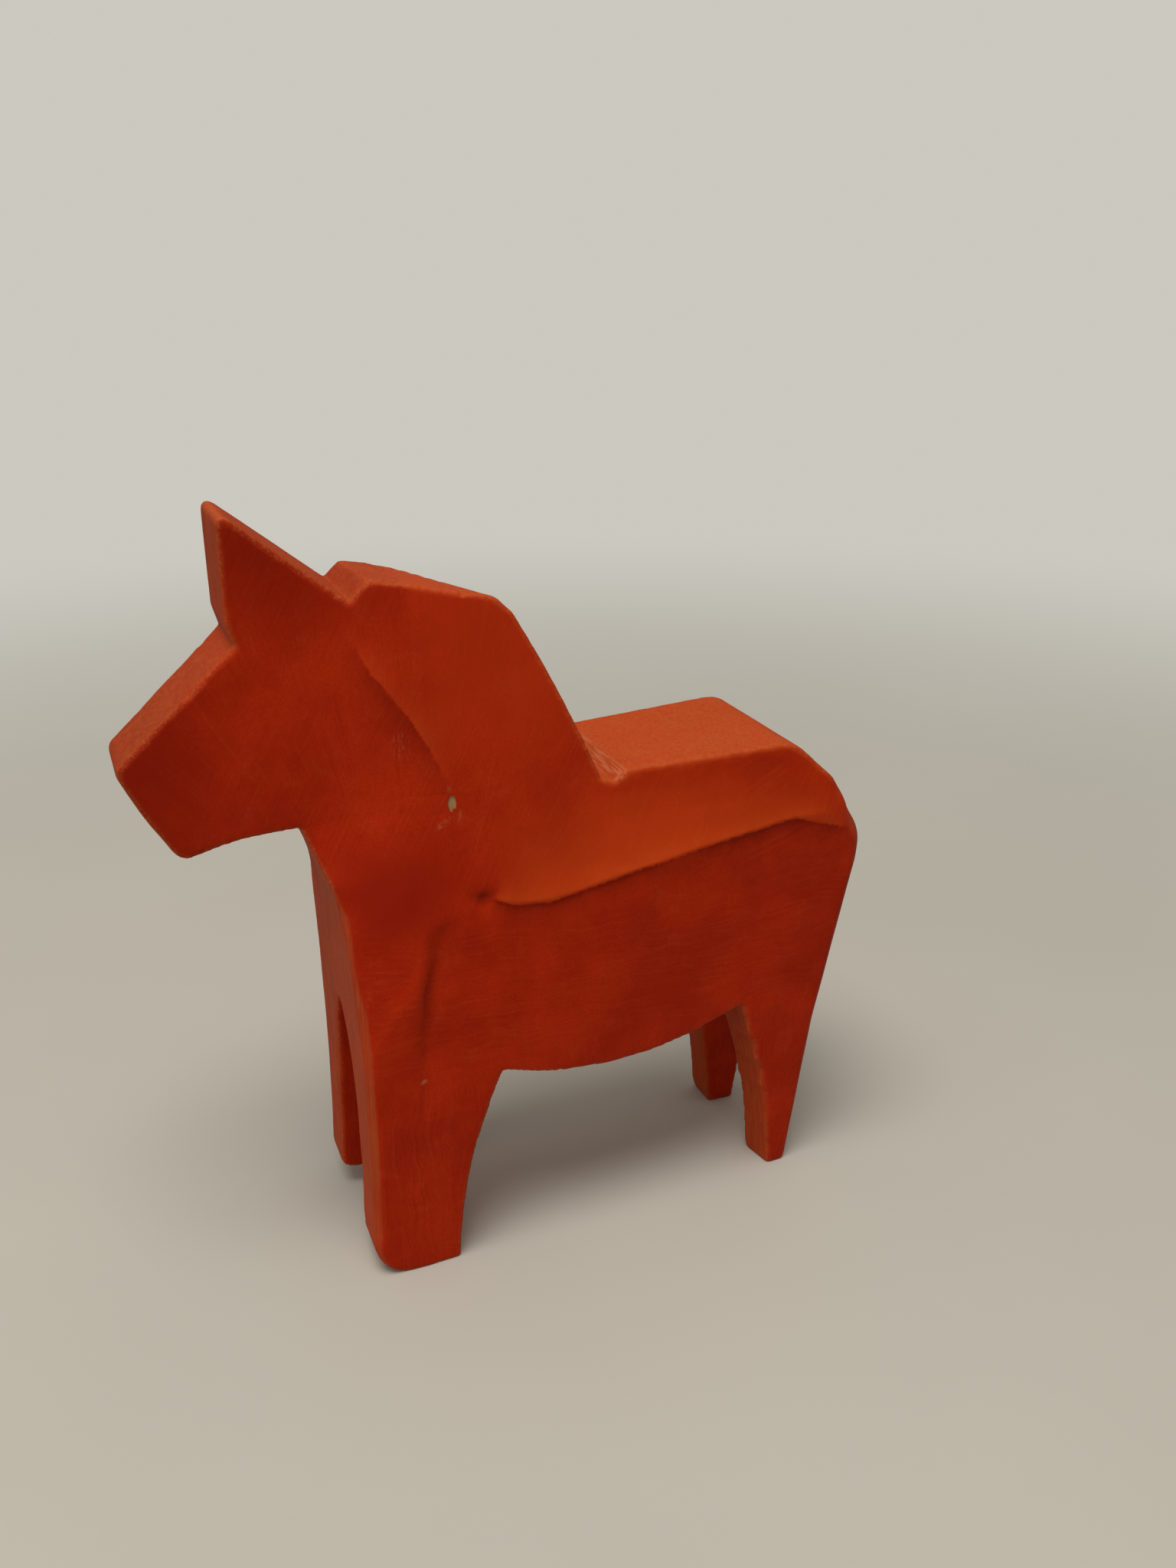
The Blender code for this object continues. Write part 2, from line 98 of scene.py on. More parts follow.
# Lines on the sides, each a run of (y, z)
CHEEK = (
    (-43.0, 161.0),
    (-40.0, 156.5),
    (-34.5, 146.0),
    (-27.3, 136.0),
    (-22.7, 127.0),
    (-19.9, 119.0),
    (-22.0, 111.0),
)
SADDLE = (
    (-12.8, 93.6),
    (-7.0, 91.2),
    (1.4, 90.7),
    (24.4, 95.4),
    (39.4, 98.0),
    (64.4, 101.0),
    (84.0, 94.5),
)
SHOULDER = ((-19.5, 91.0), (-26.2, 87.0), (-28.6, 74.0), (-30.6, 54.0))
BREAST = ((-46.0, 84.0), (-32.0, 92.5), (-20.0, 97.0))
BUTTOCK = ((81.5, 104.0), (86.0, 92.0))
STOP_CUT = ((-14.2, 93.6), (-13.4, 93.6))

# Lines that are sanded over: (line, width, reach, whether steep faces are sanded too). They are
# sanded fully within a share of the width.
SANDED_FULLY = 0.4
SOFTENED = (
    (SHOULDER, 5.5, 2.2, False),
    (BREAST, 13.0, 8.0, False),
    (BUTTOCK, 8.0, 2.6, True),
    (STOP_CUT, 5.0, 2.6, True),
)

# The cheek meets the neck in a ridge: height, half-width of its top, run on the cheek, run on the
# neck, and the shares of the line over which it comes in and starts to fade out
CHEEK_RIDGE = (0.95, 0.9, 5.0, 11.0, 0.35, 0.58)

# A step parts the saddle from the flank: depth and run below, height and run above, half-width,
# and the same shares
SADDLE_STEP = (0.34, 7.0, 0.26, 3.5, 0.8, 0.03, 0.78)

# The stop cut where saddle, shoulder and flank meet
NOTCH = (-13.8, 93.6)
NOTCH_DEPTH = 0.75
NOTCH_REACH = (2.6, 1.7, 6.5)  # along y, upwards, downwards

# Painted shade under a line and painted highlight above it: (line, the same shares, how strongly
# it is shaded and over what run, how strongly it is lit and over what run)
SHADED_LINES = (
    (CHEEK, (0.34, 0.58), 0.60, 4.5, 0.40, 5.0),
    (SADDLE, (0.03, 0.9), 0.75, 4.5, 0.55, 4.0),
)
# and painted shade in a groove: the same shares, how strongly, and the groove's half-width
SHOULDER_SHADE = ((0.1, 0.5), 0.55, 2.2)

# Hand work
SEED = 20
GRAIN_STRETCH = 0.45  # waves are longer up and down, along the grain
WAVE_DEPTH = 0.10
WAVE_LENGTH = 19.0
RIPPLE_DEPTH = 0.035
RIPPLE_LENGTH = 5.0
SHARP_EDGE = (0.05, 0.2)  # an edge is worked from the first of these edge values, fully at the last
EDGE_WOBBLE = 0.14
EDGE_LENGTH = 7.0
EDGE_WEAR = 0.3  # an edge is worn back by this share of its wobble
NICK_DEPTH = 0.10
NICK_LENGTH = 2.2
NICK_LEVEL = 0.1  # nicks lie where their noise is above this
DENTS = 46
DENTED_EDGE = 0.16  # and dents where the edge value is
DENT_DEPTH = 0.34
DENT_DEPTHS = (0.3, 1.0)  # share of that depth
DENT_RADIUS = 1.3
DENT_RADII = (0.6, 1.3)  # share of that radius
DENT_PROFILE = 1.5

# The chip in the paint of the near (+X) side, as (y, z)
CHIP = (-19.3, 116.3)
CHIP_RADII = (1.05, 1.7)
CHIP_RAGGED = 1.1
CHIP_RAGGED_LENGTH = 0.8
CHIP_REFINED = 4.5  # the skin is refined this far round it
CHIP_ROUNDS = 3
CHIP_EDGE = 0.25  # down to edges of this length

# Colours of the paint
DEEP_RED = (0.360, 0.0150, 0.0012)
FRESH_RED = (0.465, 0.0235, 0.0020)
PALE_STROKE = (0.48, 0.048, 0.010)
DARK_STROKE = (0.26, 0.0090, 0.0010)
PALE_PATCH = (0.49, 0.052, 0.014)
DARK_SPECK = (0.22, 0.0080, 0.0010)
SADDLE_HIGHLIGHT_RED = (0.47, 0.048, 0.0050)
CREST_HIGHLIGHT_RED = (0.47, 0.030, 0.0035)
HEAD_SHADE_RED = (0.22, 0.0070, 0.0008)
THROAT_SHADE_RED = (0.25, 0.0090, 0.0010)
TOP_SHEEN = (0.47, 0.090, 0.020)
FRONT_SHEEN = (0.385, 0.084, 0.022)
SHEEN_GRAIN = (0.26, 0.026, 0.008)
WIPED_PAINT = (0.52, 0.15, 0.065)
PAINTED_SHADE_RED = (0.17, 0.0065, 0.0008)
PAINTED_HIGHLIGHT_RED = (0.53, 0.058, 0.0070)
WORN_EDGE = (0.48, 0.105, 0.030)
CREASE_SHADE_RED = (0.17, 0.007, 0.0013)
PIT_SHADE_RED = (0.15, 0.006, 0.001)
SCUFFED_PAINT = (0.42, 0.140, 0.060)

# Places in the paint: (y, z) of the middle, and radii
FAN_MIDDLE = (NOTCH[0] - 14.0, NOTCH[1] - 26.0)
THROAT_SHADE = ((-34.0, 97.0), (22.0, 17.0))
WIPED_SPOT = ((20.6, 117.0), (2.6, 3.0))
PIT_SHADE_RADII = (3.0, 2.4)

# Pine
PITH = 70.0  # the middle of the tree lies this far beyond the board's middle
RING_WIDTH = 2.6
EARLY_WOOD = (0.46, 0.285, 0.115)
LATE_WOOD = (0.33, 0.175, 0.060)
PALE_FIBRE = (0.52, 0.35, 0.16)
DARK_STREAK = (0.27, 0.150, 0.055)
HANDLED_EDGE = (0.20, 0.12, 0.06)

# Studio
FLOOR_COLOUR = (0.53, 0.51, 0.46)
FLOOR_MOTTLE = 0.96  # the floor's darker parts, as a share of its colour
FLOOR_GAP = 0.05  # the floor lies this far under the soles
BACKDROP_COLOUR = (0.60, 0.58, 0.525)
FLOOR_NEAR = 180.0  # from here on the floor fades
FLOOR_FAR = 900.0  # and is gone
SKY_LOW = 0.34
SKY_HIGH = 0.85
LIGHT_AIM = (0.0, 0.0, 0.08)  # in metres
LIGHTS = (  # name, place and diameter in metres, power in watts, colour
    ("overhead", (0.27, -0.20, 1.10), 0.62, 7.8, (1.0, 0.965, 0.90)),
    ("front", (0.30, -1.00, 0.40), 0.6, 1.5, (1.0, 0.96, 0.90)),
)

# Camera: azimuth, elevation and roll in degrees, lens for a 36 mm wide sensor
CAMERA_PLACE = (288.59, -96.01, 228.99)
CAMERA_AZIMUTH = 68.08
CAMERA_ELEVATION = 21.23
CAMERA_ROLL = -0.32
CAMERA_LENS = 31.64
SENSOR_WIDTH = 36.0
NEAR_CLIP = 10.0  # nothing nearer than this is shown


# ---------------------------------------------------------------- meshes as arrays

def link(name, mesh):
    obj = bpy.data.objects.new(name, mesh)
    bpy.context.scene.collection.objects.link(obj)
    return obj


def evaluated_mesh(obj):
    """The object's mesh with its modifiers applied."""
    graph = bpy.context.evaluated_depsgraph_get()
    mesh = bpy.data.meshes.new_from_object(obj.evaluated_get(graph))
    bpy.data.objects.remove(obj)
    return mesh


def points_of(mesh):
    flat = np.empty(len(mesh.vertices) * 3)
    mesh.vertices.foreach_get("co", flat)
    return flat.reshape(-1, 3) / MM


def normals_of(mesh):
    flat = np.empty(len(mesh.vertices) * 3)
    mesh.vertex_normals.foreach_get("vector", flat)
    return flat.reshape(-1, 3)


def write_points(mesh, points):
    mesh.vertices.foreach_set("co", (points * MM).ravel())
    mesh.update()


def write_attribute(mesh, name, values):
    attribute = mesh.attributes.new(name, "FLOAT", "POINT")
    attribute.data.foreach_set("value", values.astype(np.float32))


class Neighbours:
    """Averages over the vertices that share an edge."""

    def __init__(self, mesh):
        flat = np.empty(len(mesh.edges) * 2, np.int64)
        mesh.edges.foreach_get("vertices", flat)
        self.one, self.two = flat.reshape(-1, 2).T
        self.size = len(mesh.vertices)
        self.counts = np.bincount(flat, minlength=self.size)[:, None]
        ends = points_of(mesh)
        self.step = float(np.linalg.norm(ends[self.one] - ends[self.two], axis=1).mean())

    def mean(self, values):
        total = np.empty_like(values)
        for k in range(values.shape[1]):
            column = values[:, k]
            total[:, k] = np.bincount(self.one, column[self.two], self.size)
            total[:, k] += np.bincount(self.two, column[self.one], self.size)
        return total / self.counts

    def rounds(self, reach):
        """How many averagings spread a value this far."""
        return max(1, round((reach / self.step) ** 2))

    def smoothed(self, values, reach, weight=1.0):
        for _ in range(self.rounds(reach)):
            values = values + (self.mean(values) - values) * (AVERAGING * weight)
        return values

    def smoothed_where(self, values, reach, weight):
        """Smooths only where the weight isn't zero, and only visits the edges there."""
        inside = np.flatnonzero(weight > 0.0)
        number = np.full(self.size, -1)
        number[inside] = np.arange(len(inside))
        result = values.copy()
        sums = np.zeros((len(inside), values.shape[1]))
        pairs = []
        for here, there in ((self.one, self.two), (self.two, self.one)):
            used = number[here] >= 0
            pairs.append((number[here[used]], there[used]))
        counts = self.counts[inside]
        share = AVERAGING * weight[inside][:, None]
        for _ in range(self.rounds(reach)):
            for k in range(values.shape[1]):
                column = result[:, k]
                sums[:, k] = sum(np.bincount(at, column[there], len(inside)) for at, there in pairs)
            result[inside] += (sums / counts - result[inside]) * share
        return result


def beside_line(places, line):
    """Distance from each (y, z) to a broken line, and the share of the line's length passed.

    The distance is positive on the line's left.
    """
    best = np.full(len(places), np.inf)
    signed, share = np.zeros(len(places)), np.zeros(len(places))
    ends = np.array(line)
    lengths = np.linalg.norm(np.diff(ends, axis=0), axis=1)
    before = 0.0
    for start, end, length in zip(ends[:-1], ends[1:], lengths):
        along = (end - start) / length
        offset = places - start
        passed = np.clip(offset @ along, 0.0, length)
        distance = np.linalg.norm(offset - passed[:, None] * along, axis=1)
        side = np.sign(along[0] * offset[:, 1] - along[1] * offset[:, 0])
        nearer = distance < best
        best[nearer] = distance[nearer]
        signed[nearer] = (side * distance)[nearer]
        share[nearer] = ((before + passed) / lengths.sum())[nearer]
        before += length
    return signed, share


def smoothstep(low, high, value):
    share = np.clip((value - low) / (high - low), 0.0, 1.0)
    return share * share * (3 - 2 * share)


def noise_at(points, length, offset=0.0):
    """Smooth noise from -1 to 1 at each point, with features of about this length."""
    shift = Vector((offset, offset * 1.7, offset * 0.3))
    return np.array([noise.noise(Vector(p) / length + shift) for p in points])


# ---------------------------------------------------------------- the carved surface

def remeshed(source):
    """An even, fine mesh of the source's closed surface."""
    work = bmesh.new()
    work.from_mesh(source.data)
    bmesh.ops.remove_doubles(work, verts=work.verts, dist=WELD * MM)
    mesh = bpy.data.meshes.new("remesh")
    work.to_mesh(mesh)
    work.free()
    obj = link("remesh", mesh)
    modifier = obj.modifiers.new("remesh", "REMESH")
    modifier.mode = "VOXEL"
    modifier.voxel_size = VOXEL * MM
    return evaluated_mesh(obj)


def carved_surface(source):
    """The source's surface moved out, with smooth planes, crisp creases and softened edges."""
    mesh = remeshed(source)
    around = Neighbours(mesh)
    points, normals = points_of(mesh), normals_of(mesh)
    sole = (points[:, 2] < SOLE_BAND * VOXEL) & (normals[:, 2] < SOLE_FACING)
    points += normals * PAINT_LIFT
    points += (around.mean(points) - points) * SETTLING
    write_points(mesh, points)

    normals = normals_of(mesh)
    length = np.linalg.norm(around.smoothed(normals, SPREAD_REACH), axis=1)
    spread = np.degrees(np.sqrt(np.clip(2 * (1 - length), 0.0, None)))
    soft = 1 - smoothstep(SOFT_SPREAD, CRISP_SPREAD, spread)
    soft = around.smoothed(soft[:, None], VOXEL)
    points = around.smoothed(points, SMOOTH_REACH, soft)
    flat = sideways(normals, SANDED_FACING)
    for line, width, reach, steep in SOFTENED:
        distance = np.abs(beside_line(points[:, 1:], line)[0])
        weight = 1 - smoothstep(SANDED_FULLY * width, width, distance)
        points = around.smoothed_where(points, reach, weight * (1.0 if steep else flat))
    write_points(mesh, points)
    cut = side_cuts(points[:, 1:])
    points[:, 0] -= np.sign(points[:, 0]) * cut * sideways(normals_of(mesh), CUT_FACING)
    at = points[:, 1:].copy()
    for place, move, reach in DEPARTURES:
        distance = np.linalg.norm(at - place, axis=1)
        points[:, 1:] += np.exp(-((distance / reach) ** 2))[:, None] * move
    points[sole, 2] = 0.0
    points[:, 2] = np.maximum(points[:, 2], 0.0)
    write_points(mesh, points)
    return mesh, around


def sideways(normals, facing):
    """From 0 where the surface isn't a side to 1 where it fully is."""
    return smoothstep(*facing, np.abs(normals[:, 0]))


def fades(share, start, end):
    """Comes in from 0 over the line's first share, and fades out from another share to its end."""
    return smoothstep(0.0, start, share) * (1 - smoothstep(end, 1.0, share))


def cheek_ridge(places):
    """Height of the ridge between cheek and neck at each (y, z)."""
    height, top, cheek_run, neck_run, start, end = CHEEK_RIDGE
    distance, share = beside_line(places, CHEEK)
    away = np.sqrt(distance**2 + top**2) - top
    run = np.where(distance > 0, neck_run, cheek_run)
    return height * np.exp(-away / run) * fades(share, start, end)


def saddle_step(places):
    """Depth of the step between saddle and flank at each (y, z)."""
    depth, run, height, rise_run, half_width, start, end = SADDLE_STEP
    distance, share = beside_line(places, SADDLE)
    above = smoothstep(-half_width, half_width, distance)
    cut = (1 - above) * depth * np.exp(-np.maximum(-distance, 0.0) / run)
    cut -= above * height * np.exp(-np.maximum(distance, 0.0) / rise_run)
    return cut * fades(share, start, end)


def side_cuts(places):
    """Depth of the knife's work at each (y, z) of the sides."""
    cut = saddle_step(places) - cheek_ridge(places)
    dy, dz = (places - NOTCH).T
    level, up, down = NOTCH_REACH
    stop = (dy / level) ** 2 + (dz / np.where(dz > 0, up, down)) ** 2
    return cut + NOTCH_DEPTH * np.exp(-stop)


def paint_shade(mesh):
    """How much shade (above 0) or highlight (below 0) is painted along the sides' lines."""
    places = points_of(mesh)[:, 1:]
    shade = np.zeros(len(places))
    for line, shares, darkened, shade_run, lightened, highlight_run in SHADED_LINES:
        distance, share = beside_line(places, line)
        under = darkened * np.exp(distance / shade_run)
        over = -lightened * np.exp(-distance / highlight_run)
        shade += fades(share, *shares) * np.where(distance < 0, under, over)
    shares, darkened, half_width = SHOULDER_SHADE
    distance, share = beside_line(places, SHOULDER)
    shade += fades(share, *shares) * darkened * np.exp(-((distance / half_width) ** 2))
    return shade * sideways(normals_of(mesh), SHADED_FACING)


def edge_field(mesh, around):
    """How far each point stands out of its surroundings: edges above 0, creases below."""
    points = points_of(mesh)
    out = ((points - around.smoothed(points, EDGE_REACH)) * normals_of(mesh)).sum(axis=1)
    return around.smoothed(out[:, None], VOXEL)[:, 0]


def hand_worked(mesh, edges):
    """Adds the shallow waves of the knife and sandpaper, uneven edges and small dents."""
    points, normals = points_of(mesh), normals_of(mesh)
    grain = points * (1.0, 1.0, GRAIN_STRETCH)
    move = WAVE_DEPTH * noise_at(grain, WAVE_LENGTH)
    move += RIPPLE_DEPTH * noise_at(grain, RIPPLE_LENGTH, offset=3.1)
    sharp = smoothstep(*SHARP_EDGE, edges)
    move += EDGE_WOBBLE * sharp * (noise_at(points, EDGE_LENGTH, offset=9.4) - EDGE_WEAR)
    nicks = np.maximum(0.0, noise_at(points, NICK_LENGTH, offset=5.5) - NICK_LEVEL)
    move -= NICK_DEPTH * sharp * nicks
    draw = np.random.default_rng(SEED)
    for spot in draw.choice(np.flatnonzero(edges > DENTED_EDGE), DENTS):
        distance = np.linalg.norm(points - points[spot], axis=1)
        depth = DENT_DEPTH * draw.uniform(*DENT_DEPTHS)
        radius = DENT_RADIUS * draw.uniform(*DENT_RADII)
        move -= depth * np.clip(1 - (distance / radius) ** 2, 0.0, None) ** DENT_PROFILE
    floor = points[:, 2] < FLOOR_BAND
    points += normals * move[:, None]
    points[floor, 2] = 0.0
    write_points(mesh, points)


def decimated(mesh, faces):
    """The mesh in about this many triangles, finest where it is most curved."""
    mesh.calc_loop_triangles()
    share = faces / len(mesh.loop_triangles)
    obj = link("decimate", mesh)
    modifier = obj.modifiers.new("decimate", "DECIMATE")
    modifier.ratio = min(1.0, share)
    modifier.use_collapse_triangulate = True
    return evaluated_mesh(obj)


def in_chip(point):
    """Whether this point of the surface lies in the chip."""
    y, z = point[1] - CHIP[0], point[2] - CHIP[1]
    ragged = 1 + CHIP_RAGGED * noise.noise(Vector((y, z, 0.0)) / CHIP_RAGGED_LENGTH)
    return point[0] > 0 and (y / CHIP_RADII[0]) ** 2 + (z / CHIP_RADII[1]) ** 2 < ragged


def open_skin(mesh):
    """Refines the skin round the chip, then opens the chip and the soles."""
    work = bmesh.new()
    work.from_mesh(mesh)
    centre = (Vector((0.0, *CHIP)) * MM).yz

    def coarse(edge):
        middle = (edge.verts[0].co + edge.verts[1].co) / 2
        near = middle.x > 0 and (middle.yz - centre).length < CHIP_REFINED * MM
        return near and edge.calc_length() > CHIP_EDGE * MM

    for _ in range(CHIP_ROUNDS):
        edges = [edge for edge in work.edges if coarse(edge)]
        bmesh.ops.subdivide_edges(work, edges=edges, cuts=1, use_grid_fill=True)
    bmesh.ops.triangulate(work, faces=work.faces)
    chipped = [face for face in work.faces if in_chip(face.calc_center_median() / MM)]
    bmesh.ops.delete(work, geom=chipped, context="FACES")
    everything = work.verts[:] + work.edges[:] + work.faces[:]
    bmesh.ops.bisect_plane(
        work, geom=everything, plane_co=(0, 0, SOLE_CUT * MM), plane_no=(0, 0, 1), clear_inner=True
    )
    bmesh.ops.dissolve_degenerate(work, dist=SLIVER * MM, edges=work.edges)
    bmesh.ops.triangulate(work, faces=work.faces)
    remove_folds(work)
    remove_pinches(work)
    remove_scraps(work)
    work.to_mesh(mesh)
    work.free()


def remove_folds(work):
    """Deletes faces that lie double, and flaps on edges with more than two faces."""
    twins = {}
    for face in work.faces:
        twins.setdefault(frozenset(face.verts), []).append(face)
    doubled = [face for faces in twins.values() if len(faces) > 1 for face in faces]
    bmesh.ops.delete(work, geom=doubled, context="FACES")
    crowded = {face for edge in work.edges if len(edge.link_faces) > 2 for face in edge.link_faces}
    flaps = [face for face in crowded if any(edge.is_boundary for edge in face.edges)]
    bmesh.ops.delete(work, geom=flaps, context="FACES")


def remove_pinches(work):
    """Deletes the faces round corners where an opening meets itself."""
    while True:
        pinched = [v for v in work.verts if sum(edge.is_boundary for edge in v.link_edges) > 2]
        if not pinched:
            return
        torn = {face for vertex in pinched for face in vertex.link_faces}
        bmesh.ops.delete(work, geom=list(torn), context="FACES")


def remove_scraps(work):
    """Deletes everything but the skin's largest part."""
    kept, left = set(), set(work.faces)
    while left:
        island, front = set(), [left.pop()]
        while front:
            face = front.pop()
            island.add(face)
            for edge in face.edges:
                for other in edge.link_faces:
                    if other in left:
                        left.remove(other)
                        front.append(other)
        kept = max(kept, island, key=len)
    scraps = [face for face in work.faces if face not in kept]
    bmesh.ops.delete(work, geom=scraps, context="FACES")
    loose = [vertex for vertex in work.verts if not vertex.link_faces]
    bmesh.ops.delete(work, geom=loose, context="VERTS")


def thickened(mesh):
    """The skin as a closed film."""
    obj = link("film", mesh)
    modifier = obj.modifiers.new("film", "SOLIDIFY")
    modifier.thickness = FILM * MM
    modifier.offset = -1.0
    modifier.use_rim = True
    return evaluated_mesh(obj)


def painted_surface(source):
    """The closed outer surface of the paint, with its edge and shade values."""
    mesh, around = carved_surface(source)
    edges = edge_field(mesh, around)
    write_attribute(mesh, "edge", edges)
    hand_worked(mesh, edges)
    mesh = decimated(mesh, COAT_FACES)
    write_attribute(mesh, "shade", paint_shade(mesh))
    return mesh


def shaded(name, mesh):
    mesh.shade_smooth()
    mesh.set_sharp_from_angle(angle=radians(SHARP_ANGLE))
    return link(name, mesh)


def pine_block(surface):
    """The wood just inside the painted surface."""
    mesh = surface.copy()
    points = points_of(mesh)
    inward = -normals_of(mesh)
    floor = points[:, 2] < FLOOR_BAND
    level = np.linalg.norm(inward[:, :2], axis=1)
    rim = floor & (level > RIM_FACING)
    inward[rim, :2] /= level[rim, None]
    points += inward * PINE_DEPTH
    points[floor, 2] = 0.0
    write_points(mesh, points)
    return shaded("pine_block", decimated(mesh, PINE_FACES))


def paint_coat(surface):
    """The film of paint, from the painted surface inwards."""
    open_skin(surface)
    return shaded("painted_coat", thickened(surface))


# ---------------------------------------------------------------- materials

class Graph:
    """Short names for building a material's nodes."""

    def __init__(self, name):
        self.material = bpy.data.materials.new(name)
        self.material.use_nodes = True
        self.tree = self.material.node_tree
        self.shader = self.tree.nodes["Principled BSDF"]

    def node(self, kind, inputs, output=0, **settings):
        made = self.tree.nodes.new(kind)
        for key, value in settings.items():
            setattr(made, key, value)
        for key, value in inputs.items():
            self.set(made.inputs[key], value)
        return made.outputs[output]

    def set(self, socket, value):
        if isinstance(value, bpy.types.NodeSocket):
            self.tree.links.new(value, socket)
        elif isinstance(value, tuple) and len(value) == 3 and socket.type == "RGBA":
            socket.default_value = (*value, 1.0)
        else:
            socket.default_value = value

    def math(self, operation, a, b=0.0, c=0.0):
        return self.node("ShaderNodeMath", {0: a, 1: b, 2: c}, operation=operation)

    def distance(self, a, b):
        """The length of the vector (a, b)."""
        squares = self.math("MULTIPLY_ADD", a, a, self.math("MULTIPLY", b, b))
        return self.math("SQRT", squares)

    def vector(self, x, y, z):
        return self.node("ShaderNodeCombineXYZ", {0: x, 1: y, 2: z})

    def noise(self, place, scale=1.0, detail=2.0, rough=0.5, distortion=0.0):
        inputs = {"Vector": place, "Scale": scale, "Detail": detail}
        inputs.update({"Roughness": rough, "Distortion": distortion})
        return self.node("ShaderNodeTexNoise", inputs)

    def ramp(self, value, low, high, out_low=0.0, out_high=1.0):
        inputs = {"Value": value, "From Min": low, "From Max": high}
        inputs.update({"To Min": out_low, "To Max": out_high})
        return self.node("ShaderNodeMapRange", inputs, interpolation_type="SMOOTHSTEP")

    def mix(self, share, one, two):
        inputs = {0: share, 6: one, 7: two}
        return self.node("ShaderNodeMix", inputs, 2, data_type="RGBA")

    def bump(self, height, distance, strength, normal=None):
        """Relief of a given height in metres."""
        inputs = {"Strength": strength, "Distance": distance, "Height": height}
        if normal is not None:
            inputs["Normal"] = normal
        return self.node("ShaderNodeBump", inputs)

    def place(self):
        """(position vector in millimetres, x, y, z)."""
        spot = self.node("ShaderNodeTexCoord", {}, "Object")
        spot = self.node("ShaderNodeVectorMath", {0: spot, "Scale": 1 / MM}, operation="SCALE")
        return (spot, *self.split(spot))

    def split(self, vector):
        made = self.tree.nodes.new("ShaderNodeSeparateXYZ")
        self.set(made.inputs[0], vector)
        return made.outputs[0], made.outputs[1], made.outputs[2]

    def stretched(self, x, y, z, lengths):
        """Coordinates divided by a feature length on each axis."""
        parts = [self.math("DIVIDE", part, length) for part, length in zip((x, y, z), lengths)]
        return self.vector(*parts)

    def spot(self, y, z, at, radii, turn=0.0):
        """0 at the middle of an ellipse on the side of the horse, 1 at its rim."""
        dy, dz = self.math("SUBTRACT", y, at[0]), self.math("SUBTRACT", z, at[1])
        c, s = cos(radians(turn)), sin(radians(turn))
        along = self.math("MULTIPLY_ADD", dy, c / radii[0], self.math("MULTIPLY", dz, s / radii[0]))
        across = self.math("MULTIPLY", dz, c / radii[1])
        across = self.math("MULTIPLY_ADD", dy, -s / radii[1], across)
        return self.distance(along, across)


def brush_strokes(g, spot, x, y, z):
    """Strokes along the legs, level on the flank, and fanned and crossed over neck and saddle."""
    warp = g.noise(spot, 0.06, 2.0)
    bend = g.math("MULTIPLY_ADD", warp, 8.0, -4.0)
    bent_y, bent_z = g.math("ADD", y, bend), g.math("ADD", z, bend)
    upright = g.noise(g.stretched(x, bent_y, z, (0.8, 0.55, 26.0)), 1.0, 3.0, 0.6)
    level = g.noise(g.stretched(x, y, bent_z, (0.8, 24.0, 0.6)), 1.0, 3.0, 0.6)

    dy, dz = g.math("SUBTRACT", y, FAN_MIDDLE[0]), g.math("SUBTRACT", z, FAN_MIDDLE[1])
    turned = g.math("MULTIPLY", g.math("ARCTAN2", dz, dy), 90.0)
    outward = g.math("DIVIDE", g.distance(dy, dz), 22.0)
    fan_place = g.vector(turned, outward, g.math("DIVIDE", x, 9.0))
    fan = g.noise(fan_place, 1.0, 3.0, 0.6, 0.15)
    slanted_y = g.math("SUBTRACT", y, g.math("MULTIPLY", z, 0.55))
    cross = g.noise(g.stretched(x, slanted_y, bent_z, (9.0, 0.7, 30.0)), 1.0, 3.0, 0.6)

    high = g.ramp(bent_z, 82.0, 98.0)
    leg = g.ramp(bent_z, 58.0, 44.0)
    middle = g.mix(high, level, g.mix(g.ramp(warp, 0.42, 0.58), fan, cross))
    return g.mix(leg, middle, upright)


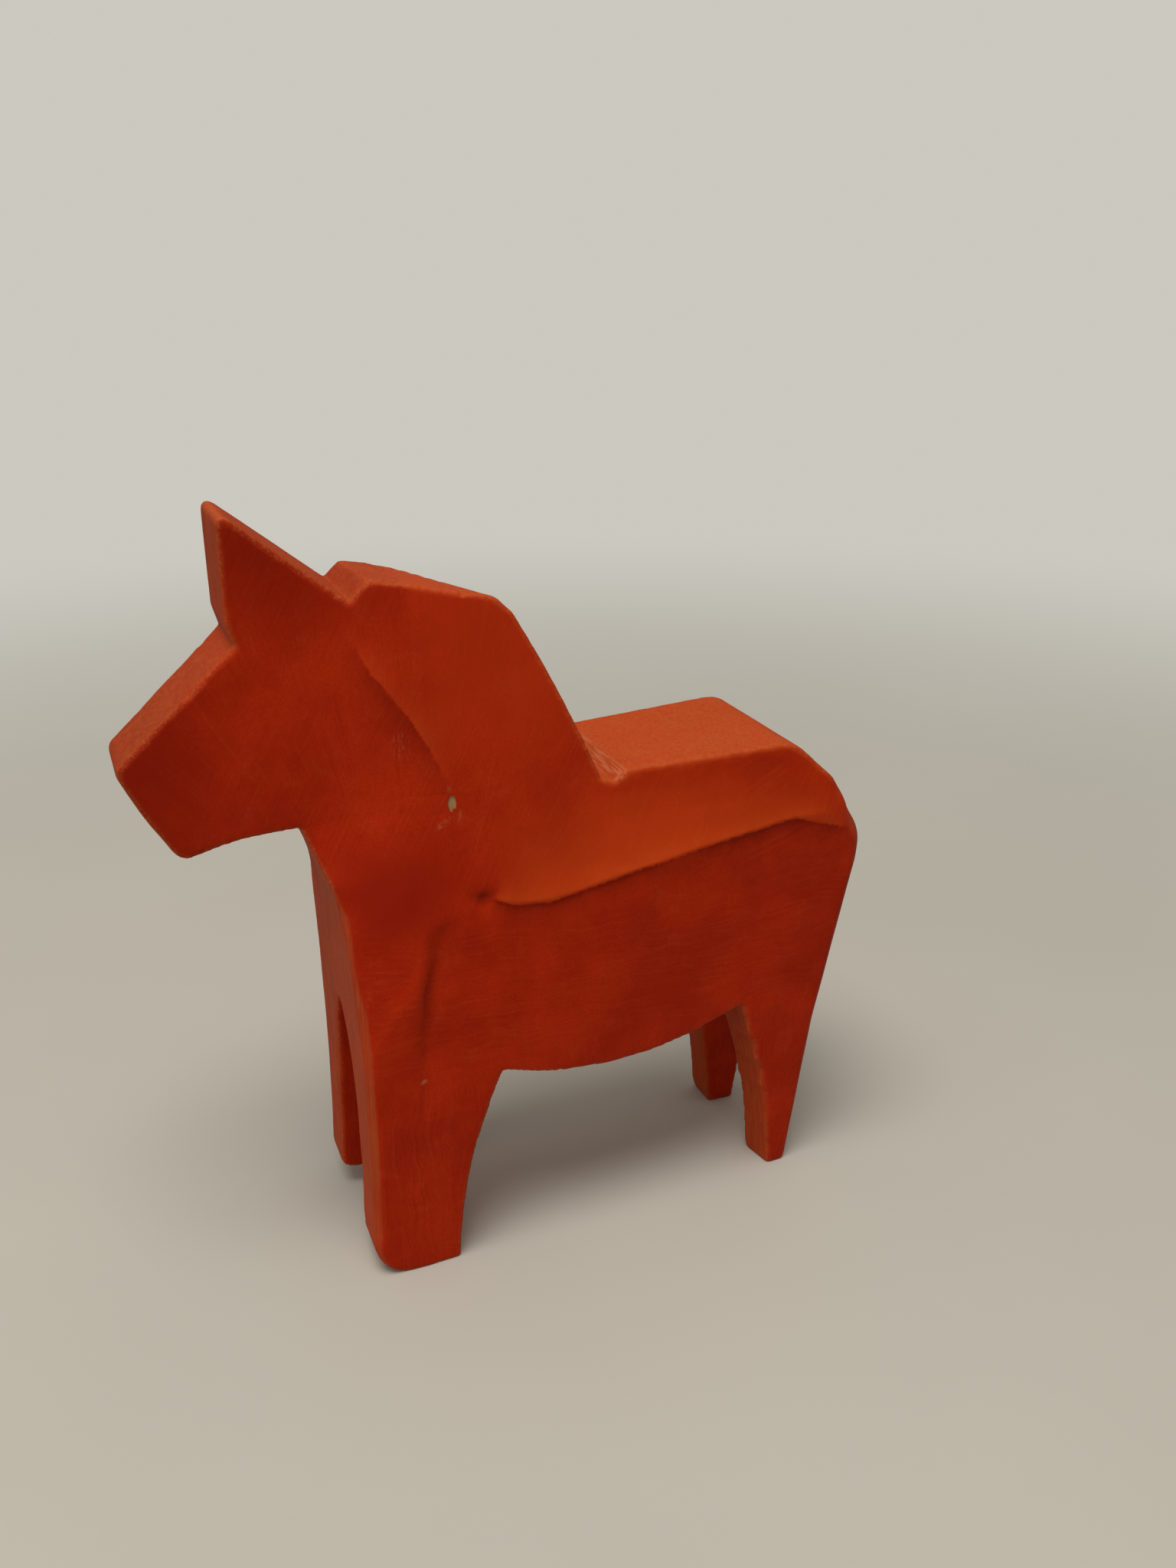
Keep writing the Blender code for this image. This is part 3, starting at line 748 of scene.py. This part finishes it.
def red_paint():
    """Worn matte paint: mottled red, brush strokes, raised grain, pale edges and scuffs."""
    g = Graph("red_paint")
    spot, x, y, z = g.place()
    edge = g.node("ShaderNodeAttribute", {}, "Fac", attribute_name="edge")
    _, ahead, upward = g.split(g.node("ShaderNodeNewGeometry", {}, "Normal"))
    facing_up = g.ramp(upward, 0.35, 0.85)
    facing_front = g.ramp(ahead, -0.45, -0.85)
    near = g.ramp(x, 0.0, 2.0)
    strokes = brush_strokes(g, spot, x, y, z)
    grain = g.noise(g.stretched(x, y, z, (0.42, 0.42, 9.0)), 1.0, 2.0, 0.55)
    pores = g.noise(g.stretched(x, y, z, (0.75, 0.75, 14.0)), 1.0, 1.0, 0.5)
    speck = g.noise(spot, 1.7, 2.0, 0.7)
    cloud = g.noise(spot, 0.045, 4.0, 0.6)
    patch = g.noise(spot, 0.13, 3.0, 0.65, 0.6)

    colour = g.mix(g.ramp(cloud, 0.34, 0.66), DEEP_RED, FRESH_RED)
    colour = g.mix(g.ramp(strokes, 0.48, 0.74, 0.0, 0.24), colour, PALE_STROKE)
    colour = g.mix(g.ramp(strokes, 0.46, 0.26, 0.0, 0.28), colour, DARK_STROKE)
    colour = g.mix(g.ramp(patch, 0.54, 0.74, 0.0, 0.22), colour, PALE_PATCH)
    colour = g.mix(g.ramp(speck, 0.40, 0.62, 0.0, 0.22), colour, DARK_SPECK)

    # Painted highlight on the up-facing saddle and the crest, painted shade on head and throat
    saddle = g.math("MULTIPLY", g.ramp(upward, 0.04, 0.30, 0.0, 0.5), g.ramp(y, -16.0, 0.0))
    colour = g.mix(saddle, colour, SADDLE_HIGHLIGHT_RED)
    crest_highlight = g.math("MULTIPLY", g.ramp(y, -30.0, -18.0), g.ramp(z, 122.0, 138.0, 0.0, 0.5))
    colour = g.mix(crest_highlight, colour, CREST_HIGHLIGHT_RED)
    muzzle, ear = g.ramp(y, -58.0, -86.0, 0.0, 0.70), g.ramp(z, 146.0, 172.0, 0.0, 0.55)
    head_shade = g.math("MULTIPLY", g.math("MAXIMUM", muzzle, ear), g.ramp(crest_highlight, 0.25, 0.0))
    colour = g.mix(head_shade, colour, HEAD_SHADE_RED)
    throat_shade = g.ramp(g.spot(y, z, *THROAT_SHADE), 1.0, 0.2, 0.0, 0.85)
    colour = g.mix(throat_shade, colour, THROAT_SHADE_RED)

    # Painted sheen and highlight on the faces that look up or forward, thinner along the grain
    sheen_facing = g.math("MAXIMUM", facing_up, g.math("MULTIPLY", facing_front, 0.9))
    cover = g.ramp(pores, 0.32, 0.66, 0.36, 0.68)
    cover = g.math("MULTIPLY", cover, g.ramp(patch, 0.3, 0.7, 0.85, 1.15))
    sheen = g.mix(g.ramp(ahead, -0.2, -0.6), TOP_SHEEN, FRONT_SHEEN)
    colour = g.mix(g.math("MULTIPLY", sheen_facing, cover), colour, sheen)
    grain_in_sheen = g.math("MULTIPLY", sheen_facing, g.ramp(grain, 0.60, 0.74, 0.0, 0.45))
    colour = g.mix(grain_in_sheen, colour, SHEEN_GRAIN)

    # Pale marks where the brush was wiped off at the foot of the mane
    lightened = g.noise(g.stretched(x, y, z, (7.0, 0.45, 0.45)), 1.0, 2.0, 0.6)
    lightened = g.math("MULTIPLY", g.ramp(lightened, 0.42, 0.62), g.ramp(upward, 0.1, 0.5))
    wiped_spot = g.ramp(g.spot(y, z, *WIPED_SPOT), 1.0, 0.4, 0.0, 0.75)
    colour = g.mix(g.math("MULTIPLY", lightened, wiped_spot), colour, WIPED_PAINT)

    # Painted shade under the lines of the sides and painted highlight above them
    shade = g.node("ShaderNodeAttribute", {}, "Fac", attribute_name="shade")
    uneven = g.ramp(patch, 0.3, 0.7, 0.7, 1.2)
    darkened = g.math("MULTIPLY", g.ramp(shade, 0.02, 0.8, 0.0, 0.60), uneven)
    colour = g.mix(darkened, colour, PAINTED_SHADE_RED)
    # Painted highlight above the lines
    thin = g.math("MULTIPLY", g.ramp(shade, -0.02, -0.55, 0.0, 0.55), uneven)
    colour = g.mix(thin, colour, PAINTED_HIGHLIGHT_RED)

    # Worn edges and marks, with painted shade in the creases and the stop cut
    worn = g.math("MULTIPLY", g.ramp(edge, 0.09, 0.26), g.ramp(speck, 0.42, 0.66, 0.06, 0.50))
    colour = g.mix(worn, colour, WORN_EDGE)
    # Creases: painted shade, with some paint gathered in them
    crease_shade = g.ramp(edge, -0.015, -0.15, 0.0, 0.50)
    colour = g.mix(crease_shade, colour, CREASE_SHADE_RED)
    # Painted shade in the pocket of the stop cut
    pit_shade = g.ramp(g.spot(y, z, NOTCH, PIT_SHADE_RADII), 1.0, 0.1, 0.0, 0.55)
    colour = g.mix(pit_shade, colour, PIT_SHADE_RED)
    marks = scuff_marks(g, spot, y, z, near)
    colour = g.mix(marks, colour, SCUFFED_PAINT)

    rough = g.ramp(strokes, 0.3, 0.7, 0.72, 0.60)
    rough = g.math("ADD", rough, g.ramp(patch, 0.3, 0.7, -0.05, 0.07))
    g.set(g.shader.inputs["Base Color"], colour)
    g.set(g.shader.inputs["Roughness"], rough)
    g.set(g.shader.inputs["Specular IOR Level"], 0.06)
    skin = g.bump(strokes, 0.00003, 0.6)
    skin = g.bump(grain, 0.00004, 0.6, skin)
    skin = g.bump(speck, 0.00002, 0.5, skin)
    skin = g.bump(g.math("MULTIPLY", marks, speck), 0.00008, 0.8, skin)
    g.set(g.shader.inputs["Normal"], skin)
    return g.material


def scuff_marks(g, spot, y, z, near):
    """Pale scuffs, flecks and scratches of the near side, from 0 to 1."""
    rub = g.noise(spot, 1.1, 3.0, 0.75)
    fleck = g.noise(spot, 2.6, 2.0, 0.7)
    scratch = g.noise(g.stretched(y, y, z, (1.0, 0.5, 3.0)), 1.0, 2.0, 0.7)
    found = 0.0
    listed = (  # middle, radii, turn in degrees, pattern, where the pattern starts, strength
        ((-29.5, 129.9), (2.6, 4.2), 0.0, scratch, 0.48, 0.50),
        ((-30.6, 51.3), (1.25, 0.8), 25.0, fleck, 0.30, 0.75),
        ((-20.0, 119.6), (0.9, 1.2), 0.0, fleck, 0.46, 0.75),
        ((-21.6, 111.8), (3.2, 0.8), 40.0, rub, 0.44, 0.45),
        ((-17.9, 113.2), (0.6, 2.0), -12.0, rub, 0.44, 0.42),
        ((-15.2, 111.5), (0.8, 1.0), 0.0, rub, 0.48, 0.40),
    )
    for at, radii, turn, pattern, low, strength in listed:
        inside = g.ramp(g.spot(y, z, at, radii, turn), 1.0, 0.25)
        shown = g.math("MULTIPLY", inside, g.ramp(pattern, low, low + 0.22, 0.0, strength))
        found = g.math("MAXIMUM", found, shown)
    return g.math("MULTIPLY", found, near)


def pine():
    """Bare pine with the growth rings of a board whose grain runs up the legs."""
    g = Graph("pine")
    _, x, y, z = g.place()
    edge = g.node("ShaderNodeAttribute", {}, "Fac", attribute_name="edge")
    warp = g.noise(g.stretched(x, y, z, (30.0, 30.0, 160.0)), 1.0, 2.0)
    wobble = g.math("MULTIPLY_ADD", warp, 26.0, -13.0)
    radius = g.distance(g.math("ADD", x, PITH), g.math("ADD", y, wobble))
    ring = g.math("FRACT", g.math("DIVIDE", radius, RING_WIDTH))
    late = g.ramp(ring, 0.45, 0.93)
    late = g.math("MULTIPLY", late, g.ramp(ring, 1.0, 0.95))
    fibre = g.noise(g.stretched(x, y, z, (0.22, 0.22, 7.0)), 1.0, 3.0, 0.6)
    streak = g.noise(g.stretched(x, y, z, (1.6, 1.6, 40.0)), 1.0, 2.0, 0.5)
    colour = g.mix(late, EARLY_WOOD, LATE_WOOD)
    colour = g.mix(g.ramp(fibre, 0.35, 0.7, 0.0, 0.45), colour, PALE_FIBRE)
    colour = g.mix(g.ramp(streak, 0.5, 0.75, 0.0, 0.4), colour, DARK_STREAK)
    colour = g.mix(g.ramp(edge, 0.08, 0.4, 0.0, 0.35), colour, HANDLED_EDGE)
    g.set(g.shader.inputs["Base Color"], colour)
    g.set(g.shader.inputs["Roughness"], g.ramp(fibre, 0.3, 0.7, 0.62, 0.82))
    skin = g.bump(fibre, 0.00006, 0.9)
    g.set(g.shader.inputs["Normal"], g.bump(late, 0.00005, 0.6, skin))
    return g.material


# ---------------------------------------------------------------- studio

def pale_floor():
    """A faintly uneven matte floor that fades into the backdrop's colour with distance."""
    g = Graph("pale_floor")
    spot, x, y, _ = g.place()
    cloud = g.noise(spot, 0.006, 3.0)
    grit = g.noise(spot, 1.1, 2.0, 0.7)
    darker = tuple(part * FLOOR_MOTTLE for part in FLOOR_COLOUR)
    tint = g.mix(g.ramp(cloud, 0.3, 0.7), FLOOR_COLOUR, darker)
    g.set(g.shader.inputs["Base Color"], tint)
    g.set(g.shader.inputs["Roughness"], g.ramp(grit, 0.3, 0.7, 0.75, 0.9))
    g.set(g.shader.inputs["Specular IOR Level"], 0.1)
    g.set(g.shader.inputs["Normal"], g.bump(grit, 0.00002, 0.4))
    g.set(g.shader.inputs["Alpha"], g.ramp(g.distance(x, y), FLOOR_NEAR, FLOOR_FAR, 1.0, 0.0))
    return g.material


def studio_floor():
    mesh = bpy.data.meshes.new("studio_floor")
    half = FLOOR_FAR * MM
    corners = [(-half, -half, 0), (half, -half, 0), (half, half, 0), (-half, half, 0)]
    mesh.from_pydata(corners, [], [(0, 1, 2, 3)])
    floor = link("studio_floor", mesh)
    floor.location.z = -FLOOR_GAP * MM
    mesh.materials.append(pale_floor())


def area_light(name, place, size, power, colour):
    data = bpy.data.lights.new(name, "AREA")
    data.shape = "DISK"
    data.size = size
    data.energy = power
    data.color = colour
    light = bpy.data.objects.new(name, data)
    bpy.context.scene.collection.objects.link(light)
    light.location = place
    aim = Vector(LIGHT_AIM) - Vector(place)
    light.rotation_euler = aim.to_track_quat("-Z", "Y").to_euler()


def backdrop():
    """A plain colour behind everything, and a soft sky that is brighter overhead to light it."""
    world = bpy.data.worlds.new("studio")
    bpy.context.scene.world = world
    world.use_nodes = True
    tree = world.node_tree
    background = tree.nodes["Background"]
    rise = tree.nodes.new("ShaderNodeSeparateXYZ")
    sky = tree.nodes.new("ShaderNodeMapRange")
    seen = tree.nodes.new("ShaderNodeLightPath")
    strength = tree.nodes.new("ShaderNodeMix")
    place = tree.nodes.new("ShaderNodeTexCoord")
    tree.links.new(place.outputs["Generated"], rise.inputs[0])
    tree.links.new(rise.outputs["Z"], sky.inputs["Value"])
    sky.inputs["To Min"].default_value = SKY_LOW
    sky.inputs["To Max"].default_value = SKY_HIGH
    tree.links.new(seen.outputs["Is Camera Ray"], strength.inputs[0])
    tree.links.new(sky.outputs[0], strength.inputs[2])
    strength.inputs[3].default_value = 1.0
    tree.links.new(strength.outputs[0], background.inputs["Strength"])
    background.inputs["Color"].default_value = (*BACKDROP_COLOUR, 1.0)


def front_quarter_camera():
    data = bpy.data.cameras.new("camera")
    data.sensor_width = SENSOR_WIDTH
    data.lens = CAMERA_LENS
    data.clip_start = NEAR_CLIP * MM
    camera = bpy.data.objects.new("camera", data)
    bpy.context.scene.collection.objects.link(camera)
    a, e = radians(CAMERA_AZIMUTH), radians(CAMERA_ELEVATION)
    back = Vector((sin(a) * cos(e), -cos(a) * cos(e), sin(e)))
    turn = (-back).to_track_quat("-Z", "Y").to_matrix()
    camera.rotation_euler = (turn @ Matrix.Rotation(radians(CAMERA_ROLL), 3, "Z")).to_euler()
    camera.location = Vector(CAMERA_PLACE) * MM
    bpy.context.scene.camera = camera


def main():
    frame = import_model()
    bpy.context.scene.view_settings.view_transform = "Standard"

    surface = painted_surface(frame["nodes"]["carved_pine_body"])
    for piece, node, slot, material in (
        (pine_block(surface), "carved_pine_body", "pine", pine()),
        (paint_coat(surface), "red_paint_coat", "red_paint", red_paint()),
    ):
        piece.data.materials.clear()
        piece.data.materials.append(material)
        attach(piece, "root")
        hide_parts(node)

    studio_floor()
    backdrop()
    for light in LIGHTS:
        area_light(*light)
    front_quarter_camera()


main()
